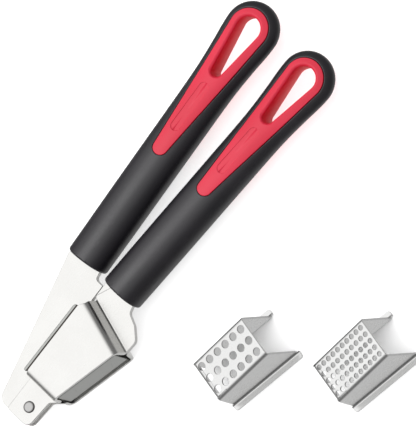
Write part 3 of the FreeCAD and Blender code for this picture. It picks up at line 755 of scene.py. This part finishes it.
insert_steel = satin_steel("satin_insert_steel", (0.64, 0.64, 0.635), 0.28)
SIEVES = {                     # rows, columns, their steps, hole radius, place from the pivot
    "coarse": (6, 3, 5.1, 6.2, 1.8, (81.0, -59.0)),
    "fine": (10, 5, 3.0, 3.6, 1.15, (117.0, -101.0)),
}
sieves = []
for grade, (rows, columns, row_step, column_step, radius, place) in SIEVES.items():
    sheet = joined(trimmed(folded_cover()), "UNION", end_lip())
    sheet.name = f"{grade}_sieve"
    sheet.data.transform(Matrix.Scale(MM, 4))
    middle = (LOW_EDGE + PLATE_ALONG * (PLATE / 2)) * MM
    sieve_tree().run(
        sheet, Rows=rows, Columns=columns, RowStep=row_step * MM, ColumnStep=column_step * MM,
        Radius=radius * MM, Ease=HOLE_EASE, Middle=middle, Slope=(0, -WEDGE, 0),
        Metal=insert_steel,
    )
    middle_x = (FOOT_END / 2) * MM
    stand = Vector((AXIS.x + place[0], AXIS.y + place[1], 0)) * MM
    sheet.data.transform(
        Matrix.Translation(stand) @ Matrix.Rotation(INSERT_TURN, 4, "Z")
        @ Matrix.Translation((-middle_x, 0, 0))
    )
    smooth_but_edges(broken_edges(sheet, INSERT_EDGE, 2, 60), CORNER)
    finish_piece(sheet, insert_steel, f"{grade}_insert", "insert_steel", f"{grade}_insert")
    sieves.append(sheet)


# ================================================================ table, light and camera
# A plain white table inside a white tent, which lights it from all round and most from above.
TENT_LOW, TENT_HIGH = 0.24, 1.46
TENT_EDGE, TENT_TOP = math.cos(math.radians(72)), math.cos(math.radians(22))
TENT_BELOW = 0.55
GROUND = (-0.25, -1.0)         # z of the direction, from the horizon to straight down
floor_mesh = bpy.data.meshes.new("table_top")
floor_mesh.from_pydata([(-6, -6, 0), (6, -6, 0), (6, 6, 0), (-6, 6, 0)], [], [(0, 1, 2, 3)])
table_top = put_in_scene("table_top", floor_mesh)
white_card = Finish("white_card", (0.9, 0.9, 0.9), Roughness=0.9)
white_card.drive("Roughness", 0.85 + white_card.noise(white_card.place(), 4.0) * 0.1)
floor_mesh.materials.append(white_card.material)


def only_for(lamp, name, lit, shading=None):
    """The lamp lights only these objects, and only those in shading cast its shadows."""
    lamp.light_linking.receiver_collection = bpy.data.collections.new(f"{name}_lit")
    for thing in lit:
        lamp.light_linking.receiver_collection.objects.link(thing)
    if shading is not None:
        lamp.light_linking.blocker_collection = bpy.data.collections.new(f"{name}_shading")
        for thing in shading:
            lamp.light_linking.blocker_collection.objects.link(thing)


# A narrow softbox gives the grips their long highlight, and the table has a light of its own.
softbox = bpy.data.lights.new("grip_softbox", "AREA")
softbox.energy = 2.6
softbox.size = 0.22
grip_light = put_in_scene("grip_softbox", softbox)
grip_light.location = (-0.20, 0.33, 0.95)
away = grip_light.location - Vector((0.06, -0.02, 0))
grip_light.rotation_euler = away.to_track_quat("Z", "Y").to_euler()
only_for(grip_light, "grip_softbox", grip_parts)
table_light = bpy.data.lights.new("table_light", "SUN")
table_light.energy = 2.4
table_light.angle = math.radians(60)
table_lamp = put_in_scene("table_light", table_light)
only_for(table_lamp, "table_light", [table_top], [table_top, *sieves])
table_top.visible_glossy = False

# Round it all a white tent, brightest above and a little to the left, and grey towards its sides.
tent = bpy.data.worlds.new("tent")
tent.use_nodes = True
tent_nodes = tent.node_tree.nodes
tent_links = tent.node_tree.links
direction = tent_nodes.new("ShaderNodeTexCoord").outputs["Generated"]
towards = tent_nodes.new("ShaderNodeVectorMath")
towards.operation = "DOT_PRODUCT"
towards.inputs[1].default_value = Vector((-0.20, 0.30, 0.93)).normalized()
tent_links.new(direction, towards.inputs[0])
strength = tent_nodes.new("ShaderNodeMapRange")
strength.interpolation_type = "SMOOTHSTEP"
for socket, value in zip(strength.inputs[1:], (TENT_EDGE, TENT_TOP, TENT_LOW, TENT_HIGH)):
    socket.default_value = value
tent_links.new(towards.outputs["Value"], strength.inputs[0])
height = tent_nodes.new("ShaderNodeSeparateXYZ")
tent_links.new(direction, height.inputs[0])
below = tent_nodes.new("ShaderNodeMapRange")
below.interpolation_type = "SMOOTHSTEP"
for socket, value in zip(below.inputs[1:], (*GROUND, 0.0, TENT_BELOW)):
    socket.default_value = value
tent_links.new(height.outputs["Z"], below.inputs[0])
both = tent_nodes.new("ShaderNodeMath")
tent_links.new(strength.outputs[0], both.inputs[0])
tent_links.new(below.outputs[0], both.inputs[1])
tent_links.new(both.outputs[0], tent_nodes["Background"].inputs["Strength"])
tent_nodes["Background"].inputs["Color"].default_value = (1, 1, 1, 1)
bpy.context.scene.world = tent
bpy.context.scene.view_settings.view_transform = "Standard"

# A long lens looks down steeply, with the lever pair running up and to the right.
RIGHT = Vector((0.643, -0.677, -0.357)).normalized()
UP = Vector((0.749, 0.653, 0.112))
BACK = RIGHT.cross(UP).normalized()
UP = BACK.cross(RIGHT)
PIVOT = Vector((-0.030, 0.003, 0.0119))
FRAME_HEIGHT = 0.1852
DISTANCE = 6.0
eye = bpy.data.cameras.new("studio_camera")
eye.sensor_width = 36.0
eye.lens = eye.sensor_width * DISTANCE / FRAME_HEIGHT
eye.clip_end = 20.0
camera = put_in_scene("studio_camera", eye)
centre = PIVOT + RIGHT * 0.0766 + UP * 0.08465
turn = Matrix((RIGHT, UP, BACK)).transposed().to_4x4()
camera.matrix_world = Matrix.Translation(centre + BACK * DISTANCE) @ turn
bpy.context.scene.camera = camera
